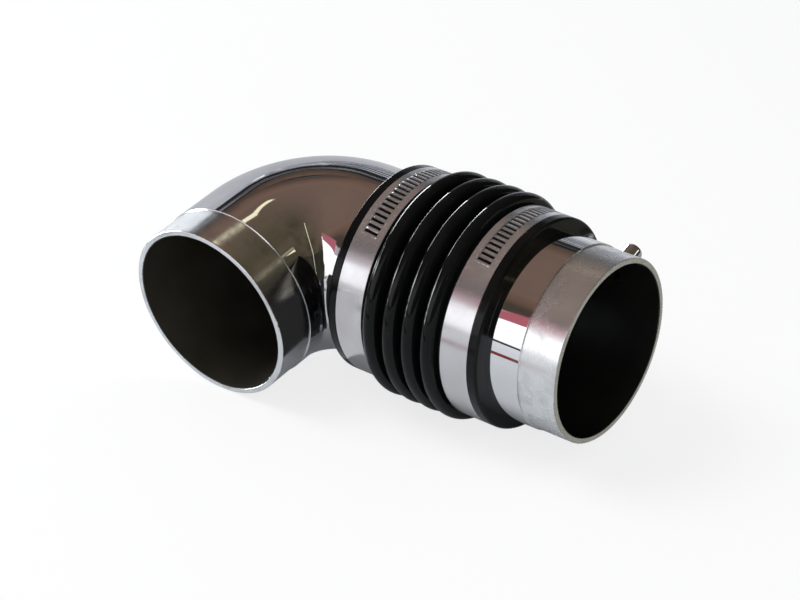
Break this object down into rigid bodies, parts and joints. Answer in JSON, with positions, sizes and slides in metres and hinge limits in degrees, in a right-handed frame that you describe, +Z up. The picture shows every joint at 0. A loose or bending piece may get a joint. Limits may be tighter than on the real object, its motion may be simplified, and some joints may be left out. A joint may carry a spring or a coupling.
{
  "type": "air intake tube",
  "caption": "Right-angle air intake tube: a chrome-plated elbow and a plated end tube joined by a black rubber bellows hose under worm-drive band clamps.",
  "frame": {"origin": "centre of the outlet mouth, in the plane of its rim", "axes": "+X out of the outlet along the hose's axis, +Z up as the part lies at rest, the inlet mouth faces -Y and a little down"},
  "size_m": [0.1883, 0.119, 0.0952],
  "materials": {
    "plated_tube": "polished",
    "hose_rubber": "gloss",
    "clamp_steel": "satin"
  },
  "bodies": {
    "root": {"elbow_tube": "plated_tube", "outlet_tube": "plated_tube", "breather_nipple": "plated_tube", "bellows_hose": "hose_rubber", "inlet_clamp_band": "clamp_steel", "inlet_clamp_housing": "clamp_steel", "inlet_clamp_screw": "clamp_steel", "outlet_clamp_band": "clamp_steel", "outlet_clamp_housing": "clamp_steel", "outlet_clamp_screw": "clamp_steel"}
  },
  "joints": []
}
